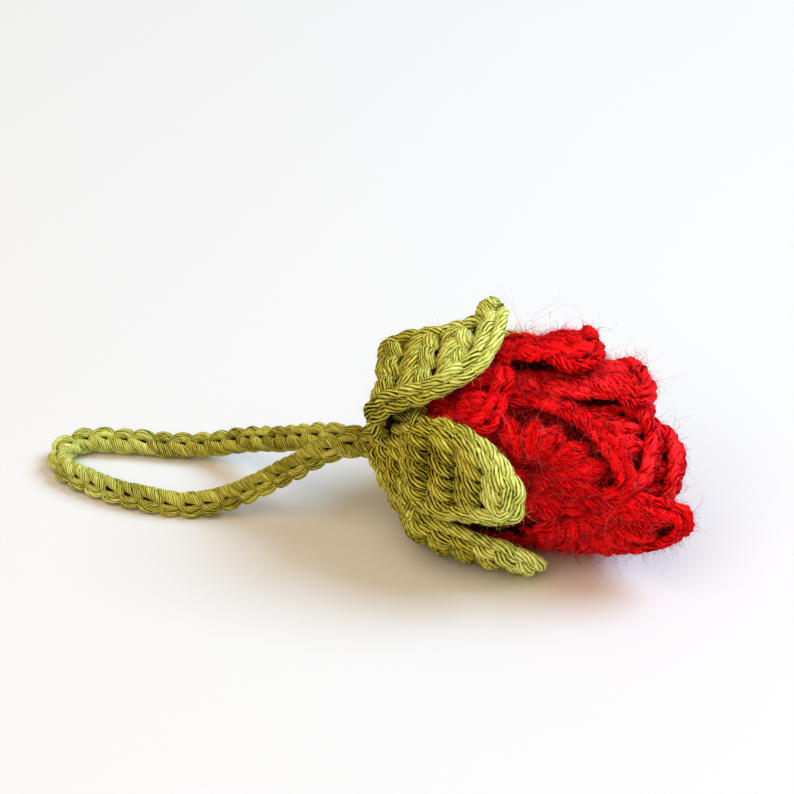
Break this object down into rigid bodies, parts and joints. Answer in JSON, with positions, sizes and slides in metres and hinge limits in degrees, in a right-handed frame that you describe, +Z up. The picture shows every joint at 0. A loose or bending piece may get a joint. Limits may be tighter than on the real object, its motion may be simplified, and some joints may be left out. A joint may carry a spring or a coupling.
{
  "type": "crochet rosebud charm",
  "caption": "Crochet rosebud of rolled red petals in a green calyx with fold-out sepals, lying on its side, with a doubled crochet cord as a hanging loop.",
  "frame": {"origin": "on the surface that the bud lies on, under the middle of the bud's bounding box, cord left out", "axes": "+X along the bud from calyx to petal tips, +Z up, -Y towards the viewer of the picture"},
  "size_m": [0.1238, 0.0472, 0.045],
  "materials": {
    "red_yarn": "soft, slightly fuzzy yarn",
    "green_yarn": "plied yarn with a slight sheen"
  },
  "bodies": {
    "bud": {"calyx_cup": "green_yarn", "rolled_base": "red_yarn", "base_binding_yarn": "red_yarn", "calyx_sewing_yarn": "green_yarn", "petal_outer_back": "red_yarn", "petal_outer_bottom": "red_yarn", "petal_outer_front": "red_yarn", "petal_inner_top": "red_yarn", "petal_inner_back": "red_yarn", "petal_inner_bottom": "red_yarn", "petal_inner_front": "red_yarn", "petal_heart_back": "red_yarn", "petal_heart_front": "red_yarn", "bud_core": "red_yarn"},
    "sepal_top": {"sepal_top": "green_yarn"},
    "sepal_front": {"sepal_front": "green_yarn"},
    "sepal_bottom_front": {"sepal_bottom_front": "green_yarn"},
    "sepal_bottom_back": {"sepal_bottom_back": "green_yarn"},
    "sepal_back": {"sepal_back": "green_yarn"},
    "petal_end": {"petal_end": "red_yarn"},
    "petal_outer_top": {"petal_outer_top": "red_yarn"},
    "loop_root": {"loop_root_knot": "green_yarn"},
    "loop": {"hanging_loop": "green_yarn"}
  },
  "joints": [
    {"name": "sepal_top_fold", "type": "hinge", "parent": "bud", "child": "sepal_top", "pos_m": [-0.02796, -0.00329, 0.02872], "axis": [0, -0.9848, -0.1736], "range_deg": [0, 60], "stiffness_Nm_per_rad": 0.0008},
    {"name": "sepal_front_fold", "type": "hinge", "parent": "bud", "child": "sepal_front", "pos_m": [-0.02162, -0.0176, 0.02245], "axis": [0, -0.2419, -0.9703], "range_deg": [0, 60], "stiffness_Nm_per_rad": 0.0008},
    {"name": "sepal_bottom_front_fold", "type": "hinge", "parent": "bud", "child": "sepal_bottom_front", "pos_m": [-0.02158, -0.01324, 0.00666], "axis": [0, 0.7071, -0.7071], "range_deg": [0, 60], "stiffness_Nm_per_rad": 0.0008},
    {"name": "sepal_bottom_back_fold", "type": "hinge", "parent": "bud", "child": "sepal_bottom_back", "pos_m": [-0.02168, 0.01085, 0.00733], "axis": [0, 0.6691, 0.7431], "range_deg": [0, 60], "stiffness_Nm_per_rad": 0.0008},
    {"name": "sepal_back_fold", "type": "hinge", "parent": "bud", "child": "sepal_back", "pos_m": [-0.02182, 0.01404, 0.02408], "axis": [0, -0.342, 0.9397], "range_deg": [0, 60], "stiffness_Nm_per_rad": 0.0008},
    {"name": "petal_end_open", "type": "hinge", "parent": "bud", "child": "petal_end", "pos_m": [-0.01992, -0.00659, 0.02891], "axis": [0, -0.8988, -0.4384], "range_deg": [0, 10], "stiffness_Nm_per_rad": 0.004},
    {"name": "petal_outer_top_open", "type": "hinge", "parent": "bud", "child": "petal_outer_top", "pos_m": [-0.01992, 0.00401, 0.02833], "axis": [0, -0.8746, 0.4848], "range_deg": [0, 5], "stiffness_Nm_per_rad": 0.004},
    {"name": "loop_swing", "type": "hinge", "parent": "bud", "child": "loop_root", "pos_m": [-0.03237, -0.00148, 0.01843], "axis": [0, 0, 1], "range_deg": [-45, 45]},
    {"name": "loop_lift", "type": "hinge", "parent": "loop_root", "child": "loop", "pos_m": [-0.03237, -0.00148, 0.01843], "axis": [0, 1, 0], "range_deg": [-40, 70]}
  ]
}
